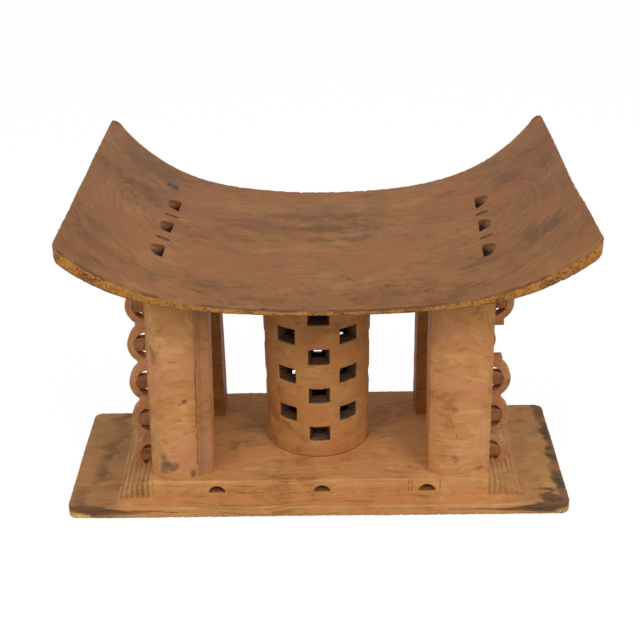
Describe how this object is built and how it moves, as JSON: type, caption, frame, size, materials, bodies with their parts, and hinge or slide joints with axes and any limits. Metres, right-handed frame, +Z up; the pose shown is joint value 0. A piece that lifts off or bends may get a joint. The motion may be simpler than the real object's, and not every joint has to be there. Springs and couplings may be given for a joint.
{
  "type": "carved wooden stool",
  "caption": "Carved wooden stool with a curved seat on a hollow pierced column and corner posts with openwork wings, on a stepped foot slab.",
  "frame": {"origin": "on the floor under the axis of the middle column, which is the centre of the bottom of the bounding box", "axes": "+X to the sitter's right when seen from the front, +Y from the front to the back, +Z up"},
  "size_m": [0.49, 0.3386, 0.3174],
  "materials": {
    "foot_wood": "worn oiled hardwood with dark stains near the rims",
    "post_wood": "worn tan hardwood",
    "fretwork_wood": "worn tan hardwood, darker in the cuts",
    "seat_wood": "brown hardwood polished by use, pale worn edges",
    "plug_dark": "dark grey"
  },
  "bodies": {
    "root": {"base_slab": "foot_wood", "base_step": "foot_wood", "centre_column": "post_wood", "post_front_left": "post_wood", "post_front_right": "post_wood", "post_rear_left": "post_wood", "post_rear_right": "post_wood", "fretwork_front_left": "fretwork_wood", "fretwork_front_right": "fretwork_wood", "fretwork_rear_left": "fretwork_wood", "fretwork_rear_right": "fretwork_wood", "seat": "seat_wood", "seat_plug": "plug_dark"}
  },
  "joints": []
}
